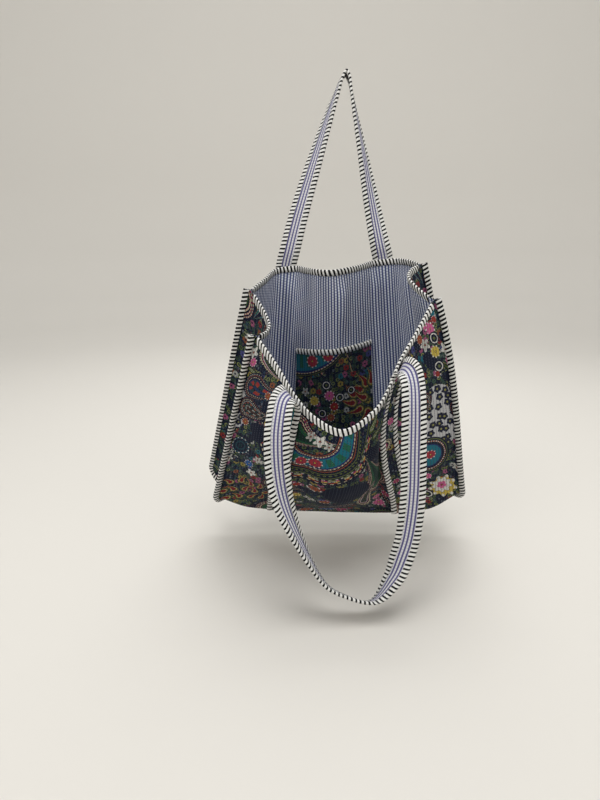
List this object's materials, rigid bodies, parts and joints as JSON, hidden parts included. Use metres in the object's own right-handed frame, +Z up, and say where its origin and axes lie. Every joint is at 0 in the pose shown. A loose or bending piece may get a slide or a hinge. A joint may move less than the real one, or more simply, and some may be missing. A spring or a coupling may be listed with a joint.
{
  "type": "quilted tote bag",
  "caption": "Quilted cotton tote with printed outside, striped lining, bound edges and gussets, hanging open by its back strap with the front strap flopped forward.",
  "frame": {"origin": "underside of the back strap at the top of its loop, where the bag hangs", "axes": "+Z up along the hang, +Y to the wall behind the bag, +X to the right seen from the front"},
  "size_m": [0.4402, 0.3257, 0.7216],
  "materials": {
    "printed_cloth": "matt quilted cotton with a dense printed pattern on a near-black ground",
    "striped_lining": "matt quilted cotton in fine blue and white stripes",
    "striped_tape": "matt cotton tape in black and white cross stripes"
  },
  "bodies": {
    "root": {"body": "printed_cloth", "gusset_left": "printed_cloth", "gusset_right": "printed_cloth", "pocket": "printed_cloth", "strap_front": "striped_lining", "strap_back": "striped_lining", "seam_binding_left": "striped_tape", "seam_binding_right": "striped_tape", "rim_binding_front": "striped_tape", "rim_binding_back": "striped_tape", "rim_binding_gusset_left": "striped_tape", "rim_binding_gusset_right": "striped_tape", "strap_binding_front_start": "striped_tape", "strap_binding_front_end": "striped_tape", "strap_binding_back_start": "striped_tape", "strap_binding_back_end": "striped_tape", "pocket_binding": "striped_tape"}
  },
  "joints": []
}
